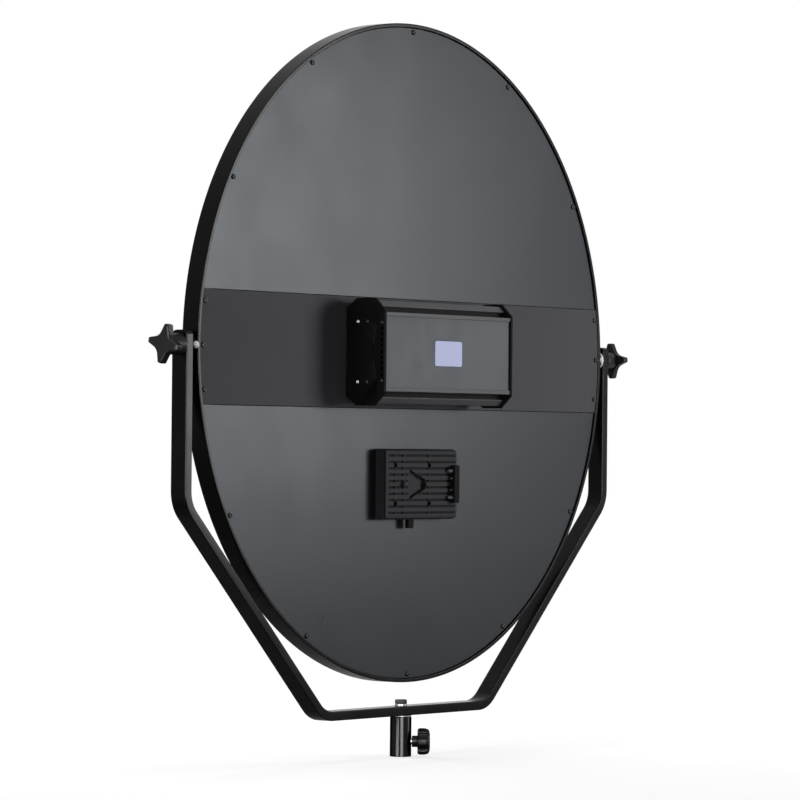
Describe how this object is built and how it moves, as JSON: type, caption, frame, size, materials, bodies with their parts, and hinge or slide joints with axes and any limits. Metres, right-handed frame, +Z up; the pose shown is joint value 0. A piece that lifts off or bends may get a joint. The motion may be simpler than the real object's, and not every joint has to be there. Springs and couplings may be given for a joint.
{
  "type": "led studio light",
  "caption": "Round edge-lit LED studio light that tilts in a half-octagon yoke, with a control box and battery plate on its back and a socket for a stand's stud.",
  "frame": {"origin": "middle of the stand socket's open lower end, where a stand's stud enters", "axes": "+Z up along the stud, X along the tilt axis, light leaves the disc towards -Y, control box and battery plate on the +Y side"},
  "size_m": [0.91, 0.0941, 0.904],
  "materials": {
    "black_aluminium": "satin black coating",
    "bare_aluminium": "mill",
    "grey_plate": "satin grey coating",
    "dark_plate": "satin dark grey coating",
    "opal_acrylic": "opal",
    "clear_acrylic": "clear",
    "white_film": "matte white",
    "foam": "closed-cell foam",
    "led_board": "white solder mask",
    "black_screw": "black oxide",
    "case_aluminium": "anodised grey",
    "face_aluminium": "satin grey",
    "display_window": "glossy, blank",
    "black_plastic": "fine texture",
    "plate_plastic": "fine texture",
    "knob_plastic": "satin",
    "circuit_board": "solder mask",
    "bright_steel": "zinc plated",
    "black_chrome": "glossy black",
    "white_nylon": "nylon"
  },
  "bodies": {
    "yoke": {"yoke": "black_aluminium", "nylon_washer_left": "white_nylon", "nylon_washer_right": "white_nylon", "stand_socket": "black_chrome", "socket_washer": "bright_steel", "yoke_bolt": "black_screw", "bolt_washer": "bright_steel"},
    "head": {"rim_frame": "black_aluminium", "rim_joiner": "bare_aluminium", "back_plate_upper": "grey_plate", "back_plate_lower": "grey_plate", "band_plate": "dark_plate", "diffuser": "opal_acrylic", "light_guide": "clear_acrylic", "reflector_sheet": "white_film", "foam_pad": "foam", "led_strip": "led_board", "rim_screw_01": "black_screw", "rim_screw_02": "black_screw", "rim_screw_03": "black_screw", "rim_screw_04": "black_screw", "rim_screw_05": "black_screw", "rim_screw_06": "black_screw", "rim_screw_07": "black_screw", "rim_screw_08": "black_screw", "rim_screw_09": "black_screw", "rim_screw_10": "black_screw", "rim_screw_11": "black_screw", "rim_screw_12": "black_screw", "rim_screw_13": "black_screw", "rim_screw_14": "black_screw", "rim_screw_15": "black_screw", "rim_screw_16": "black_screw", "control_case": "case_aluminium", "face_panel": "face_aluminium", "display_window": "display_window", "case_end_left": "black_plastic", "case_end_right": "black_plastic", "driver_board": "circuit_board", "power_inlet": "black_plastic", "battery_plate": "plate_plastic", "contact_block": "black_plastic", "battery_plate_screw_1": "black_screw", "battery_plate_screw_2": "black_screw", "battery_plate_screw_3": "black_screw", "battery_plate_screw_4": "black_screw", "pivot_bracket_left": "black_aluminium", "pivot_bracket_right": "black_aluminium"},
    "tilt_knob_left": {"tilt_knob_left": "knob_plastic", "knob_stud_left": "bright_steel"},
    "tilt_knob_right": {"tilt_knob_right": "knob_plastic", "knob_stud_right": "bright_steel"},
    "clamp_knob": {"clamp_knob": "knob_plastic", "clamp_screw": "bright_steel"},
    "brightness_dial": {"brightness_dial": "black_plastic"},
    "color_dial": {"color_dial": "black_plastic"},
    "power_switch": {"power_switch": "black_plastic"},
    "release_button": {"release_button": "black_plastic"},
    "battery_catch": {"battery_catch": "bright_steel"}
  },
  "joints": [
    {"name": "head_tilt", "type": "hinge", "parent": "yoke", "child": "head", "pos_m": [0, 0, 0.498], "axis": [1, 0, 0], "range_deg": [-180, 180]},
    {"name": "left_knob_turn", "type": "hinge", "parent": "yoke", "child": "tilt_knob_left", "pos_m": [0.45, 0, 0.498], "axis": [1, 0, 0], "continuous": true},
    {"name": "right_knob_turn", "type": "hinge", "parent": "yoke", "child": "tilt_knob_right", "pos_m": [-0.45, 0, 0.498], "axis": [-1, 0, 0], "continuous": true},
    {"name": "clamp_knob_turn", "type": "hinge", "parent": "yoke", "child": "clamp_knob", "pos_m": [0, 0, 0.0186], "axis": [-0.6115, 0.7912, 0], "continuous": true},
    {"name": "brightness_turn", "type": "hinge", "parent": "head", "child": "brightness_dial", "pos_m": [-0.1263, 0.04, 0.5383], "axis": [-1, 0, 0], "range_deg": [-135, 135]},
    {"name": "color_turn", "type": "hinge", "parent": "head", "child": "color_dial", "pos_m": [-0.1263, 0.04, 0.5083], "axis": [-1, 0, 0], "range_deg": [-135, 135]},
    {"name": "power_rock", "type": "hinge", "parent": "head", "child": "power_switch", "pos_m": [-0.13, 0.04, 0.4803], "axis": [0, 1, 0], "range_deg": [0, 16]},
    {"name": "release_press", "type": "slide", "parent": "head", "child": "release_button", "axis": [0, 0, 1], "range_m": [0, 0.004], "stiffness_N_per_m": 600, "springref_m": -0.002},
    {"name": "catch_draw", "type": "slide", "parent": "head", "child": "battery_catch", "axis": [0, -1, 0], "range_m": [0, 0.0035]}
  ],
  "couplings": [
    {"joint": "catch_draw", "follows": "release_press", "ratio": 0.875}
  ]
}
